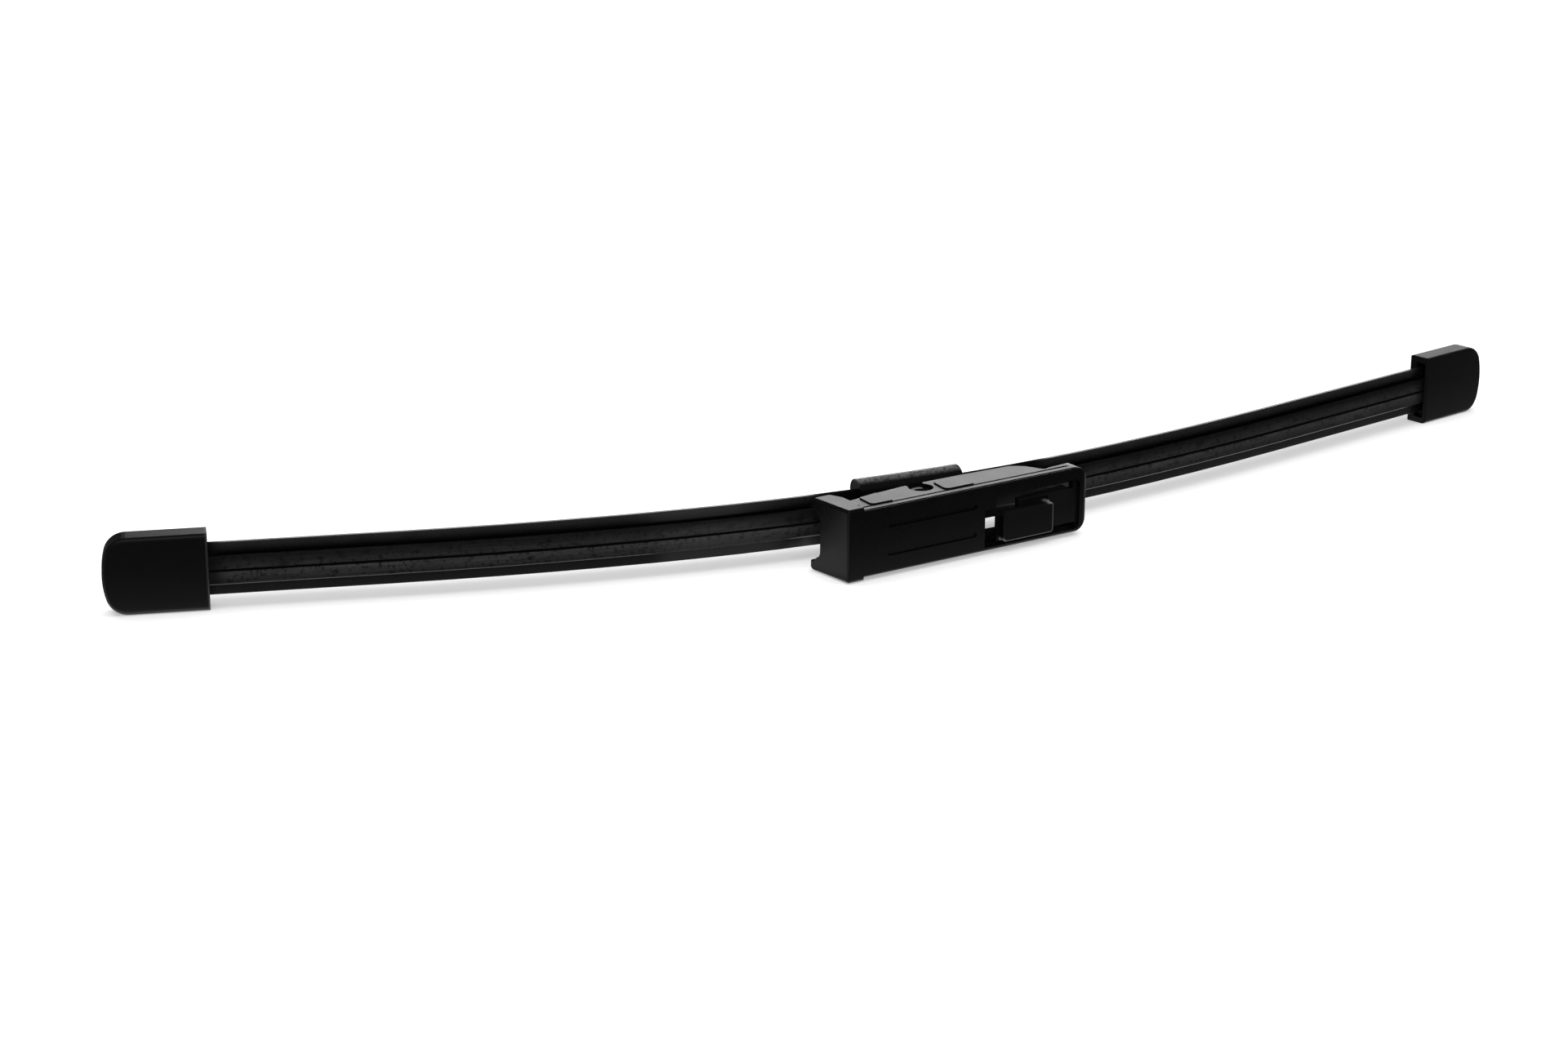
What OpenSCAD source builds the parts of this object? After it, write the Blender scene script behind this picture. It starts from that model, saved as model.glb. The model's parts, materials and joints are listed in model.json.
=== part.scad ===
// Flat beam wiper blade for a rear window, about 330 mm long, lying on its long side edge.
// +X runs along the blade, -Y is the outer side with the arm adaptor, +Y is the glass side, +Z is up.
// Lengths along the blade are measured from the adaptor's pivot, which is the zero of the drawing
// before the whole blade is moved to its own origin.

/* [Blade curve] */
// Bend radius of the middle stretch
middle_radius = 320; // [280:5:380]
// Length of the middle stretch, from the pivot to each side
middle_run = 53; // [46:0.5:58]
// Bend radius of the outer stretch on the left
left_outer_radius = 490; // [420:5:600]
// Bend radius of the outer stretch on the right
right_outer_radius = 615; // [520:5:720]
// Length of each outer bent stretch
outer_run = 48.5; // [42:0.5:54]
// Length of the straight stretch at the left end, up to the cap's tip
left_end_run = 56; // [48:0.5:64]
// Length of the straight stretch at the right end, up to the cap's tip
right_end_run = 69.5; // [60:0.5:76]
// Distance from the pivot's axis back to the rails
pivot_to_rail = 8.65; // [8.4:0.05:9.4]

/* [Spring rails] */
// Width of one rail
rail_w = 4.4; // [4:0.1:4.5]
// Thickness of a rail
rail_t = 1; // [0.8:0.05:1.2]
// Gap between the two rails
rail_gap = 1.6; // [1.4:0.1:1.7]
// Chamfer along a rail's outer edge
rail_chamfer = 0.15; // [0.05:0.05:0.25]

/* [Wiper rubber] */
// Width of the head in front of the rails
head_w = 5.8; // [5.5:0.1:6.2]
// Height of the head in front of the rails
head_t = 1.4; // [1:0.05:1.5]
// Radius of the head's two front edges
head_round = 0.4; // [0.2:0.05:0.5]
// How much narrower each side of the head is at its root
head_undercut = 0.5; // [0.2:0.05:0.7]
// Width of the slit along the head's middle
slit_w = 0.22; // [0.15:0.01:0.35]
// Depth of the slit
slit_depth = 0.75; // [0.4:0.05:0.85]
// Width of the shoulders behind the rails
shoulder_w = 5.8; // [5.2:0.1:6]
// Thickness of the shoulders
shoulder_t = 1.4; // [1:0.1:1.6]
// Width of the neck on which the lip tips over
neck_w = 0.9; // [0.7:0.05:1.2]
// Height of the neck
neck_t = 0.8; // [0.6:0.1:1]
// Width of the lip at its root
lip_root_w = 4.2; // [3.6:0.1:4.8]
// Thickness of the lip's root flange
lip_root_t = 0.6; // [0.4:0.1:0.8]
// Width of the lip's wiping edge
lip_edge_w = 0.7; // [0.5:0.05:0.9]
// Height of the lip from its root flange to the wiping edge
lip_t = 3.6; // [3:0.1:4.2]

/* [End caps] */
// Length of a cap
cap_l = 19.9; // [18:0.5:22]
// Width of a cap across the blade
cap_w = 15.3; // [15.1:0.1:15.8]
// Thickness of a cap's front wall
cap_front_t = 0.8; // [0.6:0.05:1.1]
// Thickness of a cap's two side walls
cap_side_t = 1.25; // [1:0.05:1.5]
// Thickness of the claws that reach behind the rails
cap_claw_t = 1.75; // [1.4:0.05:2]
// Gap between the two claws of a cap
cap_claw_gap = 7; // [6.6:0.1:7.6]
// Radius of the two corners at a cap's tip
cap_corner = 4.3; // [3.5:0.1:4.8]
// Bow radius of a cap's tip
cap_bow = 17; // [14:0.5:24]
// Rounding of a cap's front edges
cap_round = 0.8; // [0.5:0.05:0.95]
// Rounding of a cap's back edges
cap_back_round = 0.3; // [0.1:0.05:0.5]
// Solid length at a cap's tip, past the ends of the rails
cap_tip_l = 5; // [4.6:0.1:6]
// Length of the locking rib that sits in a rail's notch
lock_rib_l = 1.2; // [0.9:0.1:1.6]
// Depth of the notch in a rail's outer edge
notch_depth = 0.5; // [0.3:0.05:0.8]

/* [Bracket and pivot pin] */
// Sheet thickness of the bracket
sheet_t = 1.5; // [1.2:0.05:1.6]
// Thickness of the rolled edges that grip the rails
roll_t = 2.05; // [1.8:0.05:2.3]
// Length of the bracket to the left of the pivot
bracket_left = 9.7; // [7:0.05:10]
// Length of the bracket to the right of the pivot
bracket_right = 13.6; // [11:0.05:15]
// How far the claws reach in behind the rails, as the gap between them
claw_gap = 6.6; // [6.4:0.1:7.2]
// Gap between an ear and the adaptor's side wall
ear_clearance = 0.45; // [0.3:0.05:0.6]
// Radius of the ears round the pin
ear_r = 4.2; // [3.8:0.1:4.4]
// Radius of the pivot pin
pin_r = 2.5; // [2.2:0.05:2.6]
// How far the pin's ends lie below the adaptor's side faces
pin_recess = 0.65; // [0.4:0.05:0.9]
// Chamfer at the pin's ends
pin_chamfer = 0.4; // [0.2:0.05:0.5]
// Running clearance round the pin in the adaptor
pin_clearance = 0.05; // [0.02:0.01:0.1]

/* [Adaptor] */
// Angle at which the adaptor stands to the blade at rest
adaptor_tilt = 7.2; // [4:0.1:9]
// Depth of the pivot's axis behind the adaptor's front face
pivot_depth = 6.5; // [6.3:0.05:7]
// Length of the adaptor to the left of the pivot
adaptor_left = 22.05; // [21:0.05:24]
// Length of the adaptor to the right of the pivot
adaptor_right = 37.05; // [36.4:0.05:39]
// Width of the adaptor's long body
body_w = 13.75; // [13.5:0.05:14]
// Width of the collar at the adaptor's left end
collar_w = 14.9; // [14.5:0.05:15]
// Length of the collar along its front
collar_l = 3.8; // [3:0.1:4.2]
// Depth of the collar's hooked side walls
collar_depth = 11.9; // [11.4:0.1:12.4]
// How far the collar's end leans outwards over its depth, per mm of depth
collar_lean = 0.08; // [0:0.01:0.12]
// Depth of the collar's end wall
end_wall_depth = 8.6; // [8.2:0.05:9]
// Thickness of the front wall and of the side walls
wall = 1.35; // [1.2:0.05:1.45]
// Thickness of the two end walls
end_wall = 1.5; // [1.2:0.05:1.7]
// Depth of the side walls at the pivot
side_depth = 9.05; // [8.9:0.05:9.5]
// Rounding of the body's front edges
front_round = 0.45; // [0.2:0.05:0.8]
// Rounding of the collar's front edges
collar_round = 0.45; // [0.3:0.05:1]
// Radius of the body's two corners at the right end
body_corner = 2.7; // [2:0.1:3.4]
// How far the front band lies below the side walls
side_step = 0.12; // [0.05:0.01:0.2]
// Depth of the front band
band_depth = 0.55; // [0.5:0.05:1]
// Width of the keyhole's mouth where it is narrowest
mouth_w = 3.9; // [3.4:0.1:4.4]
// Height of the guide pads on the side walls
pad_t = 0.25; // [0.15:0.01:0.35]
// Left end of the two grooves in the front, to the left of the pivot
groove_left = 12.5; // [11:0.1:13]
// Length of the two grooves
groove_l = 21.8; // [16:0.2:23]
// Width of a groove
groove_w = 0.95; // [0.6:0.05:1.2]
// Depth of a groove
groove_depth = 0.45; // [0.2:0.05:0.7]

/* [Latch] */
// Left edge of the window in front of the latch
window_x = 11.3; // [10.8:0.1:11.8]
// Width of the window, up to the recess round the latch
window_l = 2.7; // [2.4:0.1:3]
// Upper edge of the window
window_top = 1.75; // [1.2:0.05:2.4]
// Depth of the recess round the latch
recess_depth = 0.65; // [0.4:0.05:0.9]
// Right edge of the recess
recess_right = 35.4; // [35:0.1:35.8]
// Upper edge of the recess
recess_top = 4.35; // [4:0.05:4.6]
// Height of the rim below the recess
recess_rim = 0.75; // [0.6:0.05:1]
// Gap between the window's right edge and the latch's free end
latch_gap = 0.65; // [0.4:0.05:0.9]
// Root of the latch, where it bends
latch_root = 33.95; // [33:0.05:34.2]
// Thickness of the latch
latch_t = 1.3; // [1.1:0.05:1.4]
// Upper edge of the latch's wide stretch
latch_high = 2.5; // [2.2:0.05:2.9]
// Height of the latch's lower edge over the recess's
latch_rise = 1.3; // [1:0.05:1.5]
// Left end of the wide stretch
latch_step_x = 20.2; // [19:0.1:22]
// Left end of the button, past the latch's free end
button_inset = 0.85; // [0.6:0.05:1.2]
// Length of the button on the latch
button_l = 12.5; // [11:0.1:13]
// Height of the button's lower edge over the recess's
button_rise = 0.7; // [0.5:0.05:1]
// Upper edge of the button
button_high = 0.95; // [0.6:0.05:1.25]
// Height of the button over the adaptor's front face
button_t = 0.9; // [0.5:0.05:1.2]

/* [Hidden] */
$fn = 96;

// Clearance between pieces that seat on each other
seat = 0.05;
// Overlap for cuts that pass through a face
cut = 1;
degrees = 180 / PI;
// Short straight stretch between two bends, and how far the bends run into the straight stretches
knee_run = 1;
run_in = 0.3;
// How much the straight stretches are larger than the bends
hair = 0.008;
$grow = 0;

// The blade's curve, worked out for the right side; the left side is its mirror image.
middle_turn = middle_run / middle_radius * degrees;
knee = [middle_radius * sin(middle_turn), pivot_to_rail + middle_radius * (1 - cos(middle_turn))];
function outer_radius(side) = side < 0 ? left_outer_radius : right_outer_radius;
function end_run(side) = side < 0 ? left_end_run : right_end_run;
function outer_turn(side) = outer_run / outer_radius(side) * degrees;
function end_turn(side) = middle_turn + outer_turn(side);
function outer_centre(side) = knee + knee_run * [cos(middle_turn), sin(middle_turn)]
    + outer_radius(side) * [-sin(middle_turn), cos(middle_turn)];
function end_start(side) = outer_centre(side) + outer_radius(side) * [sin(end_turn(side)), -cos(end_turn(side))];
function end_point(side, along, back) = end_start(side)
    + along * [cos(end_turn(side)), sin(end_turn(side))] + back * [-sin(end_turn(side)), cos(end_turn(side))];

rail_edge = rail_gap / 2 + rail_w;
core_half = rail_gap / 2 - seat;
shoulder_back = rail_t + seat + shoulder_t;
lip_front = shoulder_back + neck_t;
lip_back = lip_front + lip_root_t + lip_t;
cap_front = -(head_t + seat + cap_front_t);
cap_back = rail_t + seat + cap_claw_t;
cap_inner_half = cap_w / 2 - cap_side_t;
grip_l = cap_l - cap_tip_l;
lock_rib_x = grip_l / 2;

// Where the adaptor lies, seen from its own front face
body_half = body_w / 2;
inner_half = body_half - wall;
collar_half = collar_w / 2;
collar_x = collar_l - adaptor_left;
latch_wall = recess_depth + latch_t;
recess_low = recess_rim - body_half;
recess_x = window_x + window_l;
latch_x = recess_x + latch_gap;
latch_low = recess_low + latch_rise;
button_x = latch_x + button_inset;
button_low = recess_low + button_rise;
ear_inside = 2 * (inner_half - ear_clearance - sheet_t);
pin_l = body_w - 2 * pin_recess;
blank_depth = collar_depth + cut;

// The blade's own box, which sets the origin: middle of the length and depth, lowest edge
function tip_x(side) = end_point(side, end_run(side) - cap_round, cap_front + cap_round)[0] + cap_round;
rubber_end = cap_tip_l + 0.3;
deepest = max(end_point(-1, end_run(-1) - rubber_end, lip_back)[1], end_point(1, end_run(1) - rubber_end, lip_back)[1]);
foremost = -adaptor_left * sin(adaptor_tilt) - pivot_depth * cos(adaptor_tilt);
origin = [(tip_x(1) - tip_x(-1)) / 2, (deepest + foremost) / 2, -cap_w / 2];

module at_origin() { translate(-origin) children(); }

// Mirrors the right side to the left where side is below 0
module on_side(side) { mirror([side < 0 ? 1 : 0, 0, 0]) children(); }

// Extrudes a section along X. The section's x is the depth behind the rails' front, its y is the height.
module along_x(length) { rotate([90, 0, 90]) linear_extrude(length) children(); }

// Moves to the far end of a bend that starts here along X
module after_bend(radius, turn) {
    translate([0, radius, 0]) rotate([0, 0, turn]) translate([0, -radius, 0]) children();
}

// Bends a section round a centre at +Y, from one length before here to another past here
module arc(radius, before, past) {
    start = -before / radius * degrees;
    turn = (before + past) / radius * degrees;
    translate([0, radius, 0]) rotate([0, 0, start - 90]) rotate_extrude(angle = turn, $fn = 720)
        translate([radius, 0]) mirror([1, 0]) children();
}

// A straight stretch, a hair larger than the bends that run into it
module straight(length) { along_x(length) let($grow = hair) children(); }

// Puts a piece in the straight stretch at one end, with +X outwards along the blade.
module in_end(side) {
    on_side(side) translate(end_start(side)) rotate([0, 0, end_turn(side)]) children();
}

// Sweeps a section from the middle stretch's end to the tip, leaving some length free there
module sweep_outwards(side, free) {
    after_bend(middle_radius, middle_turn) {
        straight(knee_run) children();
        translate([knee_run, 0, 0]) {
            arc(outer_radius(side), run_in, outer_run + run_in) children();
            after_bend(outer_radius(side), outer_turn(side)) straight(end_run(side) - free) children();
        }
    }
}

// Sweeps a section along the whole blade; the left part is turned over, so its section is flipped.
module sweep_blade(free) {
    translate([0, pivot_to_rail, 0]) {
        arc(middle_radius, middle_run + run_in, middle_run + run_in) children();
        sweep_outwards(1, free) children();
        rotate([0, 180, 0]) sweep_outwards(-1, free) mirror([0, 1]) children();
    }
}

// Points of a rounded corner
function corner(centre, r, from, to, steps = 5) =
    [for (i = [0:steps]) let (a = from + (to - from) * i / steps) centre + r * [cos(a), sin(a)]];

module rubber_half() {
    g = $grow;
    lip_knee = lip_front + lip_root_t;
    polygon(concat(
        [[slit_depth - head_t - g, 0], [slit_depth - head_t - g, slit_w / 2 - g], [-head_t - g, slit_w / 2 - g]],
        corner([head_round - head_t, head_w / 2 - head_round], head_round + g, 180, 90),
        [[-seat - head_t * 0.55, head_w / 2 + g], [g - seat, head_w / 2 - head_undercut + g], [g - seat, core_half + g],
         [rail_t + seat - g, core_half + g], [rail_t + seat - g, shoulder_w / 2 + g],
         [shoulder_back + g, shoulder_w / 2 + g], [shoulder_back + g, neck_w / 2 + g],
         [lip_front - g, neck_w / 2 + g], [lip_front - g, lip_root_w / 2 + g], [lip_knee, lip_root_w / 2 + g],
         [lip_knee + lip_t * 0.45, lip_edge_w * 0.85 + g], [lip_back + g, lip_edge_w / 2 + g], [lip_back + g, 0]]));
}

module rubber_section() {
    rubber_half();
    mirror([0, 1]) rubber_half();
}

module wiper_rubber() {
    color([0.09, 0.09, 0.095]) at_origin() sweep_blade(rubber_end) rubber_section();
}

module rail_section() {
    g = $grow;
    edge = rail_edge - rail_chamfer;
    polygon([[-g, rail_gap / 2 - g], [rail_t + g, rail_gap / 2 - g], [rail_t + g, edge],
             [rail_t - rail_chamfer, rail_edge + g], [rail_chamfer, rail_edge + g], [-g, edge]]);
}

// The upper rail, with a notch near each tip for the cap's locking rib
module rail() {
    difference() {
        sweep_blade(rubber_end) rail_section();
        for (side = [-1, 1]) in_end(side)
            translate([end_run(side) - cap_l + lock_rib_x - seat, -cut, rail_edge - notch_depth])
                cube([lock_rib_l + 2 * seat, rail_t + 2 * cut, notch_depth + cut]);
    }
}

module rail_upper() { color([0.13, 0.13, 0.135]) at_origin() rail(); }

module rail_lower() { color([0.13, 0.13, 0.135]) at_origin() mirror([0, 0, 1]) rail(); }

// A plate between two depths, from an outline drawn in X and Z
module plate(front, back) {
    translate([0, back, 0]) rotate([90, 0, 0]) linear_extrude(back - front) children();
}

// Outline of a cap from its mouth to its bowed tip, drawn smaller by the inset
module cap_outline(inset) {
    half = cap_w / 2;
    centre_x = cap_l - cap_bow + sqrt(pow(cap_bow - cap_corner, 2) - pow(half - cap_corner, 2));
    translate([inset / 2, inset - half]) square([cap_l / 2, 2 * (half - inset)]);
    for (s = [-1, 1]) translate([centre_x, s * (half - cap_corner)]) circle(cap_corner - inset, $fn = 40);
    intersection() {
        translate([cap_l - cap_bow, 0]) circle(cap_bow - inset, $fn = 120);
        translate([centre_x, -half / 2]) square([cap_l, half]);
    }
}

module cap_blank() {
    steps = 4;
    hull() for (i = [0:steps]) let (a = 90 * i / steps) {
        plate(cap_front + cap_round * (1 - sin(a)), 0) cap_outline(cap_round * (1 - cos(a)));
        plate(0, cap_back - cap_back_round * (1 - sin(a))) cap_outline(cap_back_round * (1 - cos(a)));
    }
}

// One end cap, from its mouth outwards
module cap() {
    difference() {
        cap_blank();
        translate([-cut, cap_front + cap_front_t, -cap_inner_half])
            cube([grip_l + cut, cap_back - cap_claw_t - cap_front - cap_front_t, 2 * cap_inner_half]);
        translate([-cut, 0, -cap_claw_gap / 2]) cube([grip_l + cut, cap_back + cut, cap_claw_gap]);
    }
    // Ribs that centre the rails in the cap; the middle one locks into the notches
    for (s = [0, 1]) mirror([0, 0, s]) {
        for (x = [1.5, grip_l - 2.5])
            translate([x, -seat, rail_edge + seat]) cube([1, cap_back - cap_claw_t + 2 * seat, cap_inner_half - rail_edge]);
        translate([lock_rib_x, -seat, rail_edge - notch_depth + seat])
            cube([lock_rib_l, cap_back - cap_claw_t + 2 * seat, cap_inner_half - rail_edge + notch_depth]);
    }
}

module placed_cap(side) { at_origin() in_end(side) translate([end_run(side) - cap_l, 0, 0]) cap(); }

module end_cap_left() { color([0.07, 0.07, 0.075]) placed_cap(-1); }

module end_cap_right() { color([0.07, 0.07, 0.075]) placed_cap(1); }

// Section of the rolled claw that holds the upper rail's edge
module claw_section() {
    inner = rail_t / 2 + seat;
    outer = inner + roll_t;
    bend_z = rail_edge + seat - inner;
    swell = roll_t - sheet_t;
    translate([rail_t / 2, bend_z]) intersection() {
        difference() {
            circle(outer, $fn = 64);
            circle(inner, $fn = 48);
        }
        translate([-outer - cut, 0]) square(2 * (outer + cut));
    }
    // Back and front of the claw, which swell towards the rolled edge
    polygon([[rail_t + seat, claw_gap / 2], [rail_t + seat + sheet_t, claw_gap / 2],
             [rail_t + seat + sheet_t, bend_z - swell], [rail_t + seat + roll_t, bend_z], [rail_t + seat, bend_z]]);
    polygon([[-seat, head_w / 2 + 2 * seat], [-seat - sheet_t, head_w / 2 + 2 * seat],
             [-seat - sheet_t, bend_z - swell], [-seat - roll_t, bend_z], [-seat, bend_z]]);
}

module bracket() {
    ear_back = pivot_to_rail - head_t - 2 * seat;
    shoulder_y = pivot_to_rail - 3.6;
    color([0.16, 0.16, 0.165]) at_origin() difference() {
        union() {
            for (s = [0, 1]) mirror([0, 0, s]) translate([0, pivot_to_rail, 0])
                arc(middle_radius, bracket_left, bracket_right) claw_section();
            for (s = [0, 1]) mirror([0, 0, s]) translate([0, 0, ear_inside / 2]) linear_extrude(sheet_t) {
                circle(ear_r);
                polygon([[-bracket_left + seat, ear_back], [-bracket_left + seat, shoulder_y], [-ear_r, 0],
                         [ear_r, 0], [bracket_right - seat * 4, shoulder_y], [bracket_right - seat * 4, ear_back]]);
            }
            translate([-ear_r * 0.7, -ear_r + 0.4, -ear_inside / 2 - seat])
                cube([ear_r * 1.4, ear_r - 0.4 - pin_r - 0.2, ear_inside + 2 * seat]);
        }
        cylinder(r = pin_r + seat / 2, h = 2 * body_w, center = true);
    }
}

module pivot_pin() {
    half = pin_l / 2;
    color([0.16, 0.16, 0.165]) at_origin() rotate_extrude() polygon([
        [0, -half + 0.3], [1, -half + 0.3], [1.3, -half], [pin_r - pin_chamfer, -half], [pin_r, -half + pin_chamfer],
        [pin_r, half - pin_chamfer], [pin_r - pin_chamfer, half], [1.3, half], [1, half - 0.3], [0, half - 0.3]]);
}

// Puts a piece of the adaptor in place: x from the pivot, y back from the front face
module from_front() {
    at_origin() rotate([0, 0, adaptor_tilt]) translate([0, -pivot_depth, 0]) children();
}

// Side view of the long body: the side walls are deep at the pivot and shallow at the right end
module body_side() {
    polygon([[-adaptor_left + end_wall, 0], [adaptor_right, 0], [adaptor_right, 3.9], [29.8, 3.2], [28.5, 2.8],
             [27.9, 3.3], [27.3, 4.5], [26.3, 6.4], [25, 7.6], [23.3, side_depth - 0.6], [11.7, side_depth - 0.1],
             [0, side_depth], [-2.2, side_depth], [-9, 8.25], [collar_x + 1.8, 7], [-adaptor_left + end_wall, 6.9]]);
}

// Side view of the collar, whose end leans outwards and whose side walls reach furthest back
module collar_side() {
    tip = -adaptor_left - collar_lean * collar_depth;
    polygon([[-adaptor_left, 0], [collar_x, 0], [collar_x + 0.7, 6.6], [collar_x + 0.6, 7.6],
             [collar_x - 0.4, 10.1], [collar_x - 1.2, collar_depth - 0.5], [collar_x - 2.4, collar_depth],
             [tip + 0.5, collar_depth], [tip + 0.1, collar_depth - 0.4], [tip, collar_depth - 1]]);
}

// Front view of the long body with its rounded right end, drawn smaller by the inset
module body_front(inset) {
    corner_z = body_half - body_corner;
    translate([-adaptor_left + end_wall, inset - body_half]) square([adaptor_left, 2 * (body_half - inset)]);
    for (s = [-1, 1]) translate([adaptor_right - body_corner, s * corner_z]) circle(body_corner - inset, $fn = 40);
}

module collar_front(inset, lean) {
    r = collar_round + 0.1;
    for (s = [-1, 1]) {
        translate([-adaptor_left - lean + r, s * (collar_half - r)]) circle(r - inset, $fn = 24);
        translate([collar_x + 0.8 - r, s * (collar_half - r)]) circle(r - inset, $fn = 24);
    }
}

module adaptor_blank() {
    steps = 4;
    intersection() {
        hull() for (i = [0:steps]) let (a = 90 * i / steps)
            plate(front_round * (1 - sin(a)), blank_depth) body_front(front_round * (1 - cos(a)));
        linear_extrude(2 * body_w, center = true) body_side();
    }
    intersection() {
        hull() {
            for (i = [0:steps]) let (a = 90 * i / steps, front = collar_round * (1 - sin(a)))
                plate(front, front + 0.1) collar_front(collar_round * (1 - cos(a)), collar_lean * front);
            plate(blank_depth - 0.1, blank_depth) collar_front(0, collar_lean * blank_depth);
        }
        linear_extrude(2 * body_w, center = true) collar_side();
    }
}

// Cut over the end wall's back edge, which rises in a curve to the side walls' back corners
module end_wall_cut() {
    half = inner_half + seat;
    translate([-adaptor_left - 2 * cut, 0, 0]) along_x(end_wall + 2 * cut + seat) for (s = [0, 1]) mirror([0, s])
        polygon(concat([[blank_depth + cut, -seat], [blank_depth + cut, half]],
            [for (p = [[2.1, 0], [1.8, 0.3], [1, 1.1], [0.3, 1.5], [0, 2.2]]) [end_wall_depth + p[0], half - p[1]]],
            [[end_wall_depth, -seat]]));
}

// Cut that slants the back corners of the collar's side walls
module collar_corner_cut() {
    slant = 1.1;
    translate([-adaptor_left - 2 * cut, 0, 0]) along_x(collar_l + 4 * cut) polygon([
        [collar_depth - slant, collar_half], [collar_depth, collar_half - slant], [blank_depth, collar_half - slant],
        [blank_depth, collar_half + cut], [collar_depth - slant, collar_half + cut]]);
}

// The pin snaps through the mouth into the round part of the keyhole.
module keyhole() {
    translate([0, pivot_depth, 0]) {
        cylinder(r = pin_r + pin_clearance, h = 2 * body_w, center = true);
        linear_extrude(2 * body_w, center = true)
            polygon([[-mouth_w / 2, 0], [mouth_w / 2, 0], [mouth_w / 2, 2], [mouth_w / 2 + 0.6, 3.2],
                     [-mouth_w / 2 - 0.1, 3.2], [-mouth_w / 2, 2]]);
    }
}

module groove(z) {
    r = groove_w / 2;
    plate(-cut, groove_depth) {
        translate([r - groove_left, z - r]) square([groove_l - groove_w, groove_w]);
        for (x = [r - groove_left, groove_l - groove_left - r]) translate([x, z]) circle(r, $fn = 24);
    }
}

// The recess round the latch, with two rounded corners at its right end
module recess_front() {
    r = 1.2;
    translate([recess_x, recess_low]) square([recess_right - r - recess_x, recess_top - recess_low]);
    translate([recess_x, recess_low + r]) square([recess_right - recess_x, recess_top - recess_low - 2 * r]);
    for (z = [recess_low + r, recess_top - r]) translate([recess_right - r, z]) circle(r, $fn = 32);
}

module adaptor_body() {
    left_in = -adaptor_left + end_wall;
    right_in = adaptor_right - end_wall;
    latch_space = recess_x - 0.6;
    color([0.06, 0.06, 0.065]) from_front() {
        difference() {
            adaptor_blank();
            // Hollow behind the front wall, open towards the blade; the wall is thicker round the latch
            translate([left_in, wall, -inner_half]) cube([latch_space - left_in, 20, 2 * inner_half]);
            translate([latch_space - seat, latch_wall, -inner_half]) cube([right_in - latch_space, 20, 2 * inner_half]);
            end_wall_cut();
            keyhole();
            for (s = [0, 1]) mirror([0, 0, s]) {
                collar_corner_cut();
                // The front band lies a little below the side walls
                translate([collar_x, -cut, body_half - side_step]) cube([60, cut + band_depth, 2]);
                // Slit near the right end
                translate([28.9, 1.95, body_half - 0.7]) cube([4.7, 0.45, 2]);
            }
            groove(2.85);
            groove(-2.95);
            plate(-cut, latch_wall + cut) translate([window_x, recess_low])
                square([window_l + 0.1, window_top - recess_low]);
            plate(-cut, recess_depth) recess_front();
            // Opening round the latch, with a relief at its root that lets the latch swing in
            translate([0, 0, recess_low]) linear_extrude(recess_top - recess_low)
                polygon([[recess_x, recess_depth - cut / 2], [latch_root + seat, recess_depth - cut / 2],
                         [latch_root + seat, recess_depth], [latch_root + 0.3, latch_wall + 0.1],
                         [recess_x, latch_wall + cut]]);
            plate(recess_depth - cut / 2, latch_wall + cut) translate([latch_root - 2, recess_low])
                square([2.9, latch_low - recess_low]);
        }
        // Ribs across the hollow, on both sides of the pivot
        for (x = [-13.5, 8.2]) translate([x, wall - seat, -inner_half - seat])
            cube([1, 2.4, 2 * (inner_half + seat)]);
        // Low guide pads on both side walls
        for (s = [0, 1]) mirror([0, 0, s]) translate([0, 0, body_half - seat])
            linear_extrude(pad_t + seat) {
                polygon([[-14.8, 3.2], [-14.6, 2.7], [-14.1, 2.3], [-9.9, 2.3], [-9.9, 7.8], [-14.5, 7]]);
                polygon([[3.3, 3.6], [3.5, 2.8], [4.2, 2.4], [10.1, 2.4], [10.1, 7.3], [3.8, 7.3]]);
            }
    }
}

// The latch bends at its root; its button is pressed to free the arm.
module latch_button() {
    r = 0.7;
    bevel = 0.3;
    button_end = button_x + button_l;
    free_t = 0.6;
    free_high = button_high - 0.6;
    color([0.065, 0.065, 0.07]) from_front() {
        difference() {
            plate(recess_depth, latch_wall) polygon([
                [latch_x, button_low], [button_end, button_low], [button_end + 0.4, latch_low], [latch_root, latch_low],
                [latch_root, latch_high], [latch_step_x, latch_high], [latch_step_x, free_high], [latch_x, free_high]]);
            // The free end is thin, and the front lies deeper between the button and the upper edge
            linear_extrude(2 * body_w, center = true) polygon([[latch_x - cut, recess_depth + free_t],
                [latch_x + 0.3, recess_depth + free_t], [latch_x + 1.3, latch_wall + seat], [latch_x - cut, latch_wall + seat]]);
            translate([latch_step_x + 0.4, recess_depth - cut, button_high]) cube([7, cut + 0.6, 1.1]);
        }
        // Stiffening flange behind the upper edge
        translate([0, 0, latch_high - 0.9]) linear_extrude(0.9)
            polygon([[latch_step_x + 1, latch_wall - seat], [latch_root - 0.6, latch_wall - seat],
                     [latch_root - 0.6, latch_wall + 1.8], [latch_step_x + 1, latch_wall]]);
        hull() for (i = [0:2]) let (a = 45 * i, e = bevel * (1 - cos(a)))
            plate(-button_t + bevel * (1 - sin(a)), recess_depth + seat)
                for (x = [button_x + r, button_end - r], z = [button_low + r, button_high - r])
                    translate([x, z]) circle(r - e, $fn = 32);
    }
}

wiper_rubber();
rail_upper();
rail_lower();
end_cap_left();
end_cap_right();
bracket();
pivot_pin();
adaptor_body();
latch_button();
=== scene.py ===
"""Flat rear wiper blade on a pale studio floor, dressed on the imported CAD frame."""

import json
import math

import bpy
from bpy.props import FloatProperty, FloatVectorProperty, PointerProperty
from mathutils import Matrix, Vector

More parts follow.
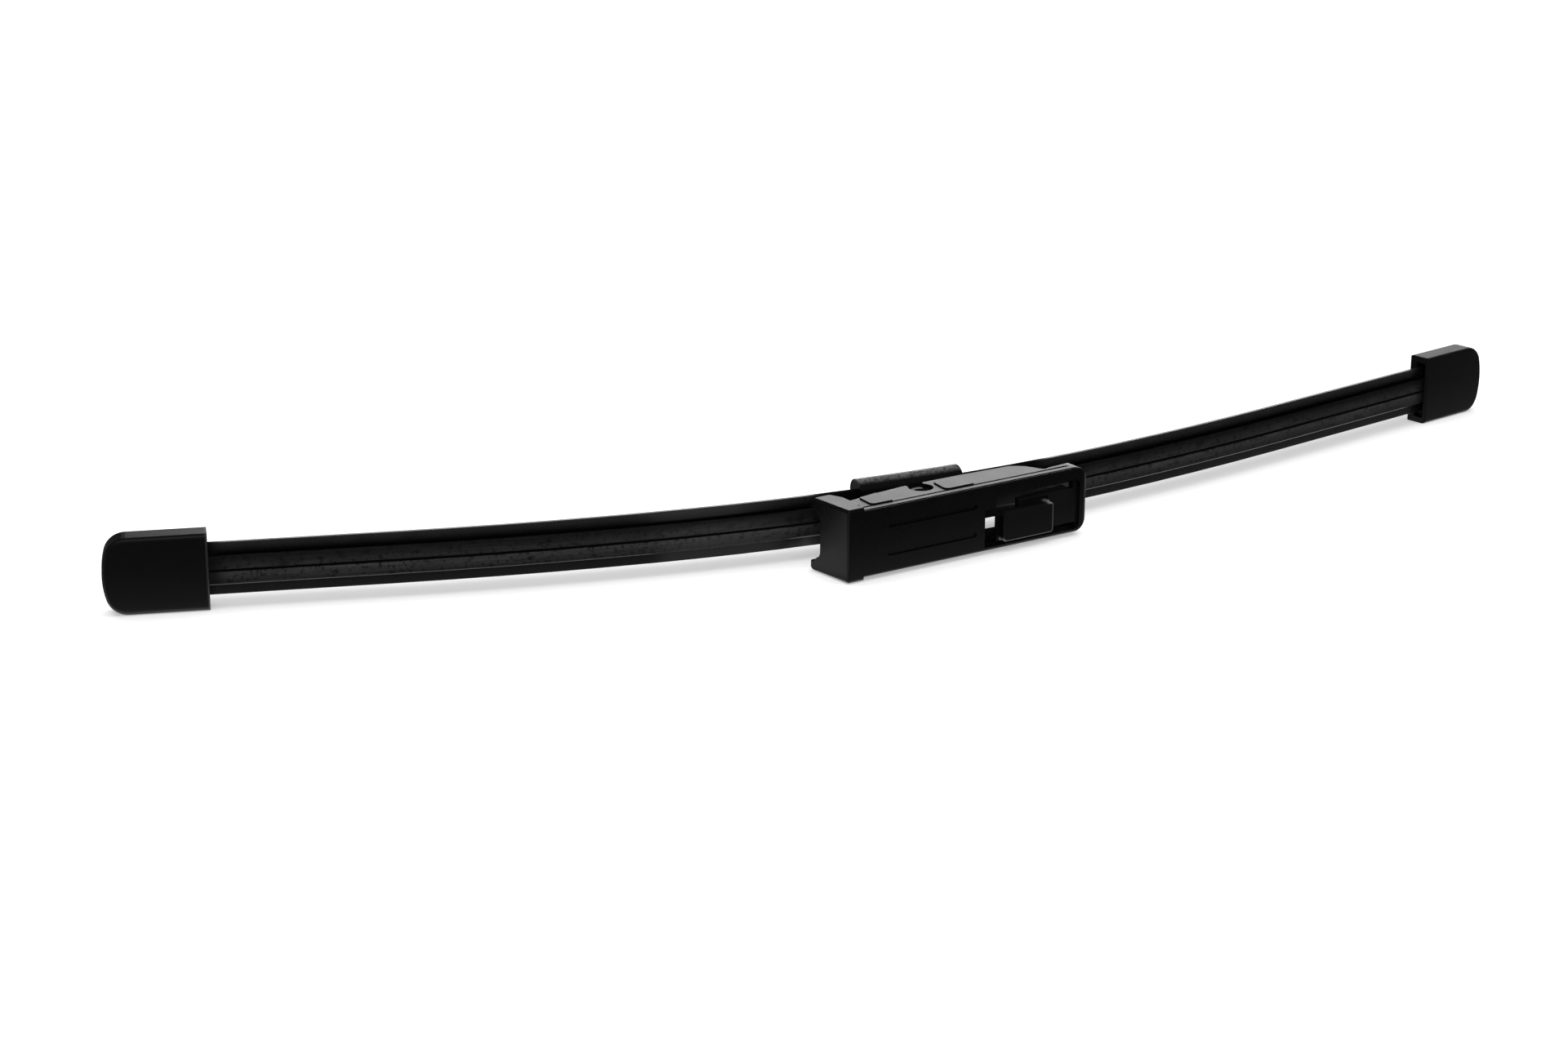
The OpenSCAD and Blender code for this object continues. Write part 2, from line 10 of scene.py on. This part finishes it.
bl_info = {
    "name": "Flat rear wiper blade",
    "version": (1, 0, 0),
    "blender": (4, 5, 0),
    "location": "3D View > Sidebar > Wiper",
    "description": "Dresses the wiper blade's parts and sets its studio",
    "category": "Object",
}

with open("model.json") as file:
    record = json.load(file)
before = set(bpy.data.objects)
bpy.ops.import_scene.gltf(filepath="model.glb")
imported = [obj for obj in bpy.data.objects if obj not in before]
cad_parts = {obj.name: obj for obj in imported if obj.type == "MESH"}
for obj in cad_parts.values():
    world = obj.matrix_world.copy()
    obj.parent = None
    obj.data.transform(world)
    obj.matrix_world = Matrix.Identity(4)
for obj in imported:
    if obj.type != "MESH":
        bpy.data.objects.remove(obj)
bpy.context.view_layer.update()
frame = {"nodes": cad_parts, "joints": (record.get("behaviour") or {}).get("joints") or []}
NODES = frame["nodes"]
MM = 0.001
PIVOT = Vector(frame["joints"][0]["pos_m"])

# All places below are in millimetres from the pivot, unless they say otherwise.

# Each cap's turn about Z, the place of its inner end along its own axis,
# and how pale and how rough the rim there is
CAPS = (
    ("end_cap_left", -0.2646, -139.85, 0.025, 0.38),
    ("end_cap_right", 0.2445, 153.39, 0.0, 0.9),
)
# The distances from the inner end over which the rim starts
CAP_RIM = (0.6, 0.2)

ADAPTOR_TURN = math.radians(7.2)
# Where the painted highlight along the adaptor's right edge starts, along its own axis, and how
# pale that painted highlight is
ADAPTOR_HIGHLIGHT_EDGE = (36.2, 36.8)
ADAPTOR_HIGHLIGHT_LEVEL = 0.03
# The mould's parting line on the adaptor's upper side: how far behind the pivot it runs,
# how wide it is, and where it starts and fades out
PARTING_BACK = -4.5
PARTING_WIDTH = (0.4, 0.15)
PARTING_START = (-18.4, -18.2)
PARTING_END = (34.0, 33.0)

# The latch's button in the adaptor's plane, and the painted highlight line along its edges
BUTTON_MIDDLE = (21.75, -2.24)
BUTTON_SIZE = (12.5, 6.38)
BUTTON_CORNER = 0.7
BUTTON_HIGHLIGHT_WIDTH = (0.33, 0.05)
BUTTON_HIGHLIGHT_LEVEL = 0.24

# The stretch of the strip behind the adaptor and the stretches beside the caps lie in shade:
# each has its middle along X and the distances between which the shade changes
BEHIND_ADAPTOR = (8.0, 24.0, 29.0)
RUBBER_ENDS = (6.7, 139.0, 142.5)
RAIL_ENDS = (6.7, 139.5, 142.5)
# The dark slit's half width, and how much it waves up and down
SLIT_WIDTH = (0.22, 0.34)
SLIT_WAVE = 0.25
# The heights between which the painted highlight on top of the bracket's roll fades in
ROLL_HIGHLIGHT_HEIGHTS = (6.4, 7.4)

PLASTIC_IOR = 1.48
RUBBER_IOR = 1.5
LACQUER_IOR = 1.5

# The strip's front edge on the floor is a + b x^2 + c x^4
STRIP_FRONT = (6.2, 0.00159, -0.0000000169)
# The adaptor's front edge on the floor: its place at x = 0 and its slope
ADAPTOR_FRONT = (-7.2, 0.126)
# The adaptor's middle along X and half its length
ADAPTOR_REACH = (7.5, 30.0)
# Middle of the dimmer patch of the painted glow beside the adaptor's left end
PATCH_MIDDLE = -37.0
# How far in front of the blade the painted glow on the paper reaches
GLOW_REACH = 45.0
# The distances over which the floor turns plain white
FAR_FLOOR = (500.0, 1200.0)
# What the camera sees on the paper over its lit colour
PAPER_GLOW = 0.35

# Each lamp's name, place, width and depth in metres, power in watts,
# and whether reflections show it
LAMPS = (
    ("overhead", (0.1, 0.25, 1.2), (1.8, 1.6), 16, False),
    ("front", (-0.5, -1.6, 1.3), (1.6, 0.6), 4, True),
)

# The camera that was fitted to the photo: metres from the pivot, radians,
# and millimetres for the lens and the sensor
CAMERA_PLACE = (-0.289933, -0.517597, 0.190325)
CAMERA_YAW = 0.466153
CAMERA_PITCH = 0.311541
CAMERA_ROLL = 0.00287
CAMERA_LENS = 73.83
CAMERA_SENSOR = 36
CAMERA_NEAR = 0.01
# How much larger the real blade is than the drawing that the camera was fitted to
VIEW_SCALE = 1.0285


class Socket:
    """One shader value; arithmetic on it makes Math nodes."""

    def __init__(self, graph, out):
        self.graph, self.out = graph, out

    def _math(self, kind, *values):
        node = self.graph.node("ShaderNodeMath", dict(enumerate(values)), operation=kind)
        return Socket(self.graph, node.outputs[0])

    def __add__(self, other):
        return self._math("ADD", self, other)

    def __radd__(self, other):
        return self._math("ADD", other, self)

    def __sub__(self, other):
        return self._math("SUBTRACT", self, other)

    def __rsub__(self, other):
        return self._math("SUBTRACT", other, self)

    def __mul__(self, other):
        return self._math("MULTIPLY", self, other)

    def __rmul__(self, other):
        return self._math("MULTIPLY", other, self)

    def size(self):
        return self._math("ABSOLUTE", self)

    def root(self):
        return self._math("SQRT", self)

    def highest(self, other):
        return self._math("MAXIMUM", self, other)

    def lowest(self, other):
        return self._math("MINIMUM", self, other)


class Graph:
    """The node tree of a material or a world."""

    def __init__(self, owner):
        self.owner = owner
        owner.use_nodes = True
        self.tree = owner.node_tree
        self.tree.nodes.clear()

    def node(self, kind, inputs=None, **settings):
        """Makes a node, sets it up, and then gives its inputs their values or links."""
        made = self.tree.nodes.new(kind)
        for key, value in settings.items():
            setattr(made, key, value)
        for key, value in (inputs or {}).items():
            if isinstance(value, Socket):
                self.tree.links.new(value.out, made.inputs[key])
            else:
                made.inputs[key].default_value = value
        return made

    def finish(self, kind, shader):
        """Links the shader to the output and hands back the material or world."""
        self.node(kind, {"Surface": shader})
        return self.owner

    def coords(self, turn=0.0, stretch=(1, 1, 1)):
        """Object coordinates in millimetres from the pivot, turned about Z and stretched."""
        place = Socket(self, self.node("ShaderNodeTexCoord").outputs["Object"])
        inputs = {
            "Vector": place,
            "Location": PIVOT,
            "Rotation": (0, 0, turn),
            "Scale": [MM * size for size in stretch],
        }
        mapping = self.node("ShaderNodeMapping", inputs, vector_type="TEXTURE")
        return Socket(self, mapping.outputs["Vector"])

    def split(self, vector):
        node = self.node("ShaderNodeSeparateXYZ", {0: vector})
        return [Socket(self, out) for out in node.outputs]

    def noise(self, vector, scale, detail=2.0, roughness=0.5):
        inputs = {"Vector": vector, "Scale": scale, "Detail": detail, "Roughness": roughness}
        return Socket(self, self.node("ShaderNodeTexNoise", inputs).outputs["Fac"])

    def ramp(self, value, low, high, start=0.0, end=1.0, kind="SMOOTHSTEP"):
        """Turns a value between low and high into one between start and end."""
        inputs = {"Value": value, "From Min": low, "From Max": high, "To Min": start, "To Max": end}
        node = self.node("ShaderNodeMapRange", inputs, interpolation_type=kind)
        return Socket(self, node.outputs["Result"])

    def away(self, value, middle, low, high, start=0.0, end=1.0):
        """A ramp over the distance from a middle."""
        return self.ramp((value - middle).size(), low, high, start, end)

    def grey(self, level):
        """A grey of the given level, a trace bluer than neutral."""
        inputs = {"Red": level, "Green": level, "Blue": level * 1.02}
        return Socket(self, self.node("ShaderNodeCombineColor", inputs).outputs["Color"])

    def glow(self, strength):
        return Socket(self, self.node("ShaderNodeEmission", {"Strength": strength}).outputs[0])

    def sky(self, strength):
        inputs = {"Color": (1, 1, 1, 1), "Strength": strength}
        return Socket(self, self.node("ShaderNodeBackground", inputs).outputs[0])

    def both(self, a, b):
        return Socket(self, self.node("ShaderNodeAddShader", {0: a, 1: b}).outputs[0])

    def blend(self, factor, a, b):
        return Socket(self, self.node("ShaderNodeMixShader", {0: factor, 1: a, 2: b}).outputs[0])

    def ray(self, kind):
        return Socket(self, self.node("ShaderNodeLightPath").outputs[kind])

    def bump(self, height, strength, distance):
        inputs = {"Height": height, "Strength": strength, "Distance": distance}
        return Socket(self, self.node("ShaderNodeBump", inputs).outputs["Normal"])

    def principled(self, color, roughness, ior, normal):
        inputs = {"Base Color": color, "Roughness": roughness, "IOR": ior, "Normal": normal}
        shader = Socket(self, self.node("ShaderNodeBsdfPrincipled", inputs).outputs[0])
        return self.finish("ShaderNodeOutputMaterial", shader)


def around(noise, spread):
    """Spreads a noise value evenly around 1."""
    return (noise - 0.5) * (2 * spread) + 1.0


def cap_plastic(name, level, roughness, turn, inner_end, rim_level, rim_roughness):
    """End cap plastic with painted light from below; its inner end has a rim of its own level and
    roughness.
    """
    g = Graph(bpy.data.materials.new(name))
    at = g.coords(turn)
    x, _, z = g.split(at)
    fine = g.noise(at, 9.0)
    broad = g.noise(at, 0.15, 3.0)
    rim = g.away(x, inner_end, *CAP_RIM)
    # Painted light from below: the cap is drawn paler towards its bottom
    body_with_painted_underlight = g.ramp(z, -7.6, 3.0, level * 1.5, level) * around(broad, 0.2)
    grain = (broad - 0.5) * 0.1 + (fine - 0.5) * 0.06
    return g.principled(
        g.grey(rim * rim_level + body_with_painted_underlight),
        rim * (rim_roughness - roughness) + grain + roughness,
        PLASTIC_IOR,
        g.bump(fine, 0.25, 0.00002),
    )


def adaptor_plastic(name, level, roughness):
    """Adaptor plastic with a painted highlight on its right edge, painted light from below, and a
    parting line on its upper side.
    """
    g = Graph(bpy.data.materials.new(name))
    at = g.coords(ADAPTOR_TURN)
    x, y, z = g.split(at)
    fine = g.noise(at, 9.0)
    broad = g.noise(at, 0.15, 3.0)
    # Painted highlight along the right edge, where grazing reflections fall
    rim = g.ramp(x, *ADAPTOR_HIGHLIGHT_EDGE)
    line = g.away(y, PARTING_BACK, *PARTING_WIDTH)
    parting = line * g.ramp(x, *PARTING_START) * g.ramp(x, *PARTING_END)
    # Painted light from below: the adaptor is drawn paler towards its bottom
    body_with_painted_underlight = g.ramp(z, -7.4, 3.0, level * 1.3, level) * around(broad, 0.15)
    grain = (broad - 0.5) * 0.1 + (fine - 0.5) * 0.05
    return g.principled(
        g.grey(rim * ADAPTOR_HIGHLIGHT_LEVEL + body_with_painted_underlight),
        parting * 0.6 + grain + roughness,
        PLASTIC_IOR,
        g.bump(fine, 0.2, 0.00001),
    )


def off_outline(x, z, middle, size, corner):
    """Distance from the outline of a rectangle with round corners."""
    across = (x - middle[0]).size() - (size[0] / 2 - corner)
    up = (z - middle[1]).size() - (size[1] / 2 - corner)
    out = across.highest(0.0) * across.highest(0.0) + up.highest(0.0) * up.highest(0.0)
    return (out.root() - corner + across.highest(up).lowest(0.0)).size()


def latch_plastic(name, level, roughness):
    """Plastic of the latch, with a painted highlight along the low and the right edge of its
    button.
    """
    g = Graph(bpy.data.materials.new(name))
    at = g.coords(ADAPTOR_TURN)
    x, _, z = g.split(at)
    fine = g.noise(at, 9.0)
    # Painted highlight: a pale line along the button's low and right edges
    edge = g.ramp(off_outline(x, z, BUTTON_MIDDLE, BUTTON_SIZE, BUTTON_CORNER), *BUTTON_HIGHLIGHT_WIDTH)
    right = (x - BUTTON_MIDDLE[0]) * (1 / BUTTON_SIZE[0])
    low = (z - BUTTON_MIDDLE[1]) * (-1 / BUTTON_SIZE[1])
    painted_highlight = edge * g.ramp(right.highest(low), 0.35, 0.45)
    return g.principled(
        g.grey(painted_highlight * BUTTON_HIGHLIGHT_LEVEL + level),
        g.ramp(z, -0.6, 0.2, roughness, roughness + 0.45) + (fine - 0.5) * 0.06,
        PLASTIC_IOR,
        g.bump(fine, 0.2, 0.00001),
    )


def rubber(name, level, roughness):
    """Rubber of the head: painted shade along its upper edge and in the slit, painted light on the
    half below the slit, fine marks.
    """
    g = Graph(bpy.data.materials.new(name))
    at = g.coords()
    x, _, z = g.split(at)
    fine = g.noise(at, 4.0, 3.0)
    broad = g.noise(at, 0.2, 3.0)
    streaks = g.noise(g.coords(stretch=(15, 15, 0.25)), 1.0, 3.0)
    small_specks = g.ramp(g.noise(at, 0.9, 3.0, 0.6), 0.57, 0.6, 1.0, 0.45)
    large_specks = g.ramp(g.noise(at, 1.7, 1.0), 0.64, 0.68, 1.0, 0.2)
    # Painted shade under the head's upper edge, and painted light on the half below the slit
    upper = g.ramp(z, 2.9, 0.4, 0.15, 1.0) * g.ramp(z, 0.1, -0.1, 1.0, 1.7)
    # Painted shade, darker towards the head's lower edge
    lower = g.ramp(z, -0.4, -2.6, 1.0, 0.4)
    # Painted shade in the slit, drawn as a dark waving line
    slit = g.ramp((z + (g.noise(at, 0.9, 3.0) - 0.5) * SLIT_WAVE).size(), *SLIT_WIDTH)
    shade = g.away(x, *BEHIND_ADAPTOR, 0.25, 1.0) * g.away(x, *RUBBER_ENDS, 1.0, 0.2)
    marks = small_specks * large_specks * around(broad, 0.2) * around(streaks, 0.9)
    gloss = g.ramp(z, 1.5, 2.6, roughness, roughness + 0.35) * g.ramp(z, -2.3, -2.7, 1.0, 0.6)
    return g.principled(
        g.grey(upper * lower * slit * shade * marks * level),
        gloss + (1 - slit) * 0.5 + (broad - 0.5) * 0.15,
        RUBBER_IOR,
        g.bump(fine, 0.2, 0.00005),
    )


def lacquer(name, level, roughness, grain, depth, highlight_level=0.0):
    """Dark lacquer on the steel of the bracket and its pin, with a speckled painted highlight on
    top of the bracket's roll.
    """
    g = Graph(bpy.data.materials.new(name))
    at = g.coords()
    _, _, z = g.split(at)
    fine = g.noise(at, grain)
    broad = g.noise(at, 0.3, 3.0)
    speckle = g.noise(at, grain * 0.6, 3.0, 0.7)
    # Painted highlight on top of the roll, broken up by speckle
    painted_highlight = g.ramp(z, *ROLL_HIGHLIGHT_HEIGHTS) * g.ramp(speckle, 0.38, 0.62, 0.35, 1.15)
    return g.principled(
        g.grey(painted_highlight * highlight_level + around(broad, 0.2) * level),
        (broad - 0.5) * 0.15 + roughness,
        LACQUER_IOR,
        g.bump(fine, 0.4, depth),
    )


def rail_lacquer(name, level, roughness):
    """Lacquered spring steel, with painted light along the two outer edges and painted shade beside
    the rubber head.
    """
    g = Graph(bpy.data.materials.new(name))
    at = g.coords()
    x, _, z = g.split(at)
    fine = g.noise(at, 3.0)
    broad = g.noise(at, 0.3, 3.0)
    shade = g.away(x, *BEHIND_ADAPTOR) * g.away(x, *RAIL_ENDS, 1.0, 0.1)
    # Painted shade beside the rubber head, turning to painted light towards each outer edge
    upper = g.ramp(z, 2.8, 5.2, 0.1, 1.8)
    lower = g.ramp(z, -2.6, -4.2, 0.4, 0.7)
    side = g.ramp(z, -0.5, 0.5)
    edge_light_and_shade = upper * side + lower * (1 - side)
    return g.principled(
        g.grey(edge_light_and_shade * around(broad, 0.25) * shade * level),
        (broad - 0.5) * 0.1 + (1 - shade) * 0.5 + roughness,
        LACQUER_IOR,
        g.bump(fine, 0.3, 0.00001),
    )


def painted_glow_under_blade(g):
    """Where the paper glows in reflections: below and behind the blade, a painted glow standing in
    for light from beneath.
    """
    x, y, _ = g.split(g.coords())
    start, square, fourth = STRIP_FRONT
    before_strip = (x * x * fourth + square) * x * x + start - y
    start, slope = ADAPTOR_FRONT
    middle, half_length = ADAPTOR_REACH
    before_adaptor = (x * slope + start - y).highest((x - middle).size() - half_length)
    off = before_strip.lowest(before_adaptor)
    near = g.ramp(off, GLOW_REACH, 0.0, kind="LINEAR")
    behind = g.ramp(off, 1.0, 0.0, 0.0, 0.8) - g.ramp(off, -4.0, -9.0, 0.0, 0.9)
    in_patch = g.ramp(off, -2.0, 1.0, 0.0, 0.3)
    outside_patch = g.away(x, PATCH_MIDDLE, 13.0, 16.0)
    inside_patch = g.away(x, PATCH_MIDDLE, 14.0, 11.0)
    return near * near * 0.2 + outside_patch * behind + inside_patch * in_patch


def paper(name, color, mirror, glow_mask=None):
    """Pale paper, plain white far out; it glows in reflections, all over unless a painted glow mask
    limits where.
    """
    g = Graph(bpy.data.materials.new(name))
    matt = Socket(g, g.node("ShaderNodeBsdfDiffuse", {"Color": (*color, 1)}).outputs[0])
    seen = g.blend(g.ray("Is Camera Ray"), matt, g.both(matt, g.glow(PAPER_GLOW)))
    x, y, _ = g.split(g.coords())
    far = g.ramp((x * x + y * y).root(), *FAR_FLOOR)
    mirrored = g.glow(mirror)
    if glow_mask:
        mirrored = g.blend(glow_mask(g), g.glow(0.0), mirrored)
    shown = g.blend(g.ray("Is Glossy Ray"), g.blend(far, seen, g.glow(1.0)), mirrored)
    return g.finish("ShaderNodeOutputMaterial", shown)


def room(name, level, mirror):
    """A white room for the camera, with its own light and its own brightness in reflections."""
    g = Graph(bpy.data.worlds.new(name))
    shown = g.sky(level)
    for kind, strength in (("Is Glossy Ray", mirror), ("Is Camera Ray", 1.0)):
        shown = g.blend(g.ray(kind), shown, g.sky(strength))
    return g.finish("ShaderNodeOutputWorld", shown)


def dress(material, *nodes):
    """Puts the material on every slot of the CAD nodes."""
    for name in nodes:
        for slot in NODES[name].material_slots:
            slot.material = material


def sheet(context, name, material, width):
    """A square sheet of studio paper."""
    bpy.ops.mesh.primitive_plane_add(size=width)
    made = context.object
    made.name = name
    made.data.materials.append(material)
    return made


def area_lamp(name, place, size, power, mirrored):
    """A soft rectangular lamp that looks at the middle of the floor."""
    data = bpy.data.lights.new(name, "AREA")
    data.shape = "RECTANGLE"
    data.size, data.size_y = size
    data.energy = power
    lamp = bpy.data.objects.new(name, data)
    lamp.location = place
    lamp.rotation_euler = (-Vector(place)).to_track_quat("-Z", "Y").to_euler()
    lamp.visible_glossy = mirrored
    return lamp


def photo_camera(name):
    """The camera at the photo's viewing angle."""
    data = bpy.data.cameras.new(name)
    data.lens = CAMERA_LENS
    data.sensor_width = CAMERA_SENSOR
    data.clip_start = CAMERA_NEAR
    camera = bpy.data.objects.new(name, data)
    camera.location = Vector(CAMERA_PLACE) * VIEW_SCALE + PIVOT
    yaw = Matrix.Rotation(-CAMERA_YAW, 3, "Z")
    pitch = Matrix.Rotation(math.pi / 2 - CAMERA_PITCH, 3, "X")
    roll = Matrix.Rotation(CAMERA_ROLL, 3, "Z")
    camera.rotation_euler = (yaw @ pitch @ roll).to_euler()
    return camera


class WiperLook(bpy.types.PropertyGroup):
    plastic_level: FloatProperty(
        name="Plastic",
        description="How pale the mouldings are",
        default=0.003,
        min=0,
        max=1,
        subtype="FACTOR",
    )
    rubber_level: FloatProperty(
        name="Rubber",
        description="How pale the rubber is",
        default=0.02,
        min=0,
        max=1,
        subtype="FACTOR",
    )
    rail_level: FloatProperty(
        name="Rails",
        description="How pale the rails are",
        default=0.01,
        min=0,
        max=1,
        subtype="FACTOR",
    )
    coating_level: FloatProperty(
        name="Coating",
        description="How pale the bracket and its pin are",
        default=0.002,
        min=0,
        max=1,
        subtype="FACTOR",
    )


class WiperStage(bpy.types.PropertyGroup):
    floor_size: FloatProperty(
        name="Floor", description="Width and depth of the floor", default=6.0, unit="LENGTH"
    )
    floor_color: FloatVectorProperty(
        name="Paper colour",
        description="Colour of the floor and the backdrop",
        default=(0.88, 0.88, 0.88),
        subtype="COLOR",
    )
    room_level: FloatProperty(
        name="Room", description="How much light comes from all around", default=0.5, min=0, max=3
    )
    room_mirror: FloatProperty(
        name="Room in reflections",
        description="How bright the room is in reflections",
        default=0.05,
        min=0,
        max=3,
    )
    floor_mirror: FloatProperty(
        name="Light below",
        description="How bright the lit paper under the blade is in reflections",
        default=1.0,
        min=0,
        max=3,
    )
    backdrop_size: FloatVectorProperty(
        name="Backdrop",
        description="Width and height of the backdrop",
        size=2,
        default=(3.0, 1.35),
        unit="LENGTH",
    )
    backdrop_shift: FloatProperty(
        name="Backdrop shift",
        description="How far the backdrop stands to the right",
        default=2.2,
        unit="LENGTH",
    )
    backdrop_level: FloatProperty(
        name="Backdrop in reflections",
        description="How bright the backdrop is in reflections",
        default=2.4,
        min=0,
        max=3,
    )


class WIPER_OT_mouldings(bpy.types.Operator):
    """Dress the adaptor, the latch and the end caps"""

    bl_idname = "wiper.mouldings"
    bl_label = "Mouldings"

    def execute(self, context):
        pale = context.scene.wiper_look.plastic_level
        dress(adaptor_plastic("adaptor_plastic", pale, roughness=0.28), "adaptor_body")
        dress(latch_plastic("latch_plastic", pale, roughness=0.4), "latch_button")
        for name, *end in CAPS:
            dress(cap_plastic(name + "_plastic", pale, 0.4, *end), name)
        return {"FINISHED"}


class WIPER_OT_strip(bpy.types.Operator):
    """Dress the rubber and the spring rails"""

    bl_idname = "wiper.strip"
    bl_label = "Strip"

    def execute(self, context):
        look = context.scene.wiper_look
        dress(rubber("blade_rubber", look.rubber_level, roughness=0.34), "wiper_rubber")
        steel = rail_lacquer("spring_steel", look.rail_level, roughness=0.26)
        dress(steel, "rail_upper", "rail_lower")
        return {"FINISHED"}


class WIPER_OT_bracket(bpy.types.Operator):
    """Dress the bracket and its pin"""

    bl_idname = "wiper.bracket"
    bl_label = "Bracket"

    def execute(self, context):
        pale = context.scene.wiper_look.coating_level
        coating = lacquer(
            "bracket_coating", pale, roughness=0.34, grain=2.5, depth=0.0002, highlight_level=0.13
        )
        dress(coating, "bracket")
        dress(lacquer("pin_steel", pale, roughness=0.4, grain=5.0, depth=0.00003), "pivot_pin")
        return {"FINISHED"}


class WIPER_OT_stage(bpy.types.Operator):
    """Make the floor, the backdrop, the room, the lamps and the camera"""

    bl_idname = "wiper.stage"
    bl_label = "Stage"

    def execute(self, context):
        scene = context.scene
        stage = scene.wiper_stage
        scene.view_settings.view_transform = "Standard"

        # The floor carries a painted glow under the blade, seen in reflections only
        glowing_floor_paper = paper("floor_paper", stage.floor_color, stage.floor_mirror, painted_glow_under_blade)
        floor = sheet(context, "floor", glowing_floor_paper, stage.floor_size)

        width, height = stage.backdrop_size
        plain_paper = paper("backdrop_paper", stage.floor_color, stage.backdrop_level)
        backdrop = sheet(context, "backdrop", plain_paper, 1)
        backdrop.location = (stage.backdrop_shift, stage.floor_size / 2, height / 2)
        backdrop.rotation_euler = (math.pi / 2, 0, 0)
        backdrop.scale = (width, height, 1)

        scene.world = room("studio", stage.room_level, stage.room_mirror)
        for lamp in LAMPS:
            scene.collection.objects.link(area_lamp(*lamp))
        scene.camera = photo_camera("camera")
        scene.collection.objects.link(scene.camera)
        return {"FINISHED"}


class WIPER_PT_panel(bpy.types.Panel):
    """Sizes and buttons of the wiper blade"""

    bl_label = "Wiper"
    bl_idname = "WIPER_PT_panel"
    bl_space_type = "VIEW_3D"
    bl_region_type = "UI"
    bl_category = "Wiper"

    def draw(self, context):
        for group in (context.scene.wiper_look, context.scene.wiper_stage):
            for name in group.__annotations__:
                self.layout.prop(group, name)
        for operator in OPERATORS:
            self.layout.operator(operator.bl_idname)


OPERATORS = (WIPER_OT_mouldings, WIPER_OT_strip, WIPER_OT_bracket, WIPER_OT_stage)
CLASSES = (WiperLook, WiperStage, *OPERATORS, WIPER_PT_panel)


def register():
    for cls in CLASSES:
        bpy.utils.register_class(cls)
    bpy.types.Scene.wiper_look = PointerProperty(type=WiperLook)
    bpy.types.Scene.wiper_stage = PointerProperty(type=WiperStage)


def unregister():
    del bpy.types.Scene.wiper_look
    del bpy.types.Scene.wiper_stage
    for cls in reversed(CLASSES):
        bpy.utils.unregister_class(cls)


def main():
    register()
    bpy.ops.wiper.mouldings()
    bpy.ops.wiper.strip()
    bpy.ops.wiper.bracket()
    bpy.ops.wiper.stage()


if __name__ == "__main__":
    main()
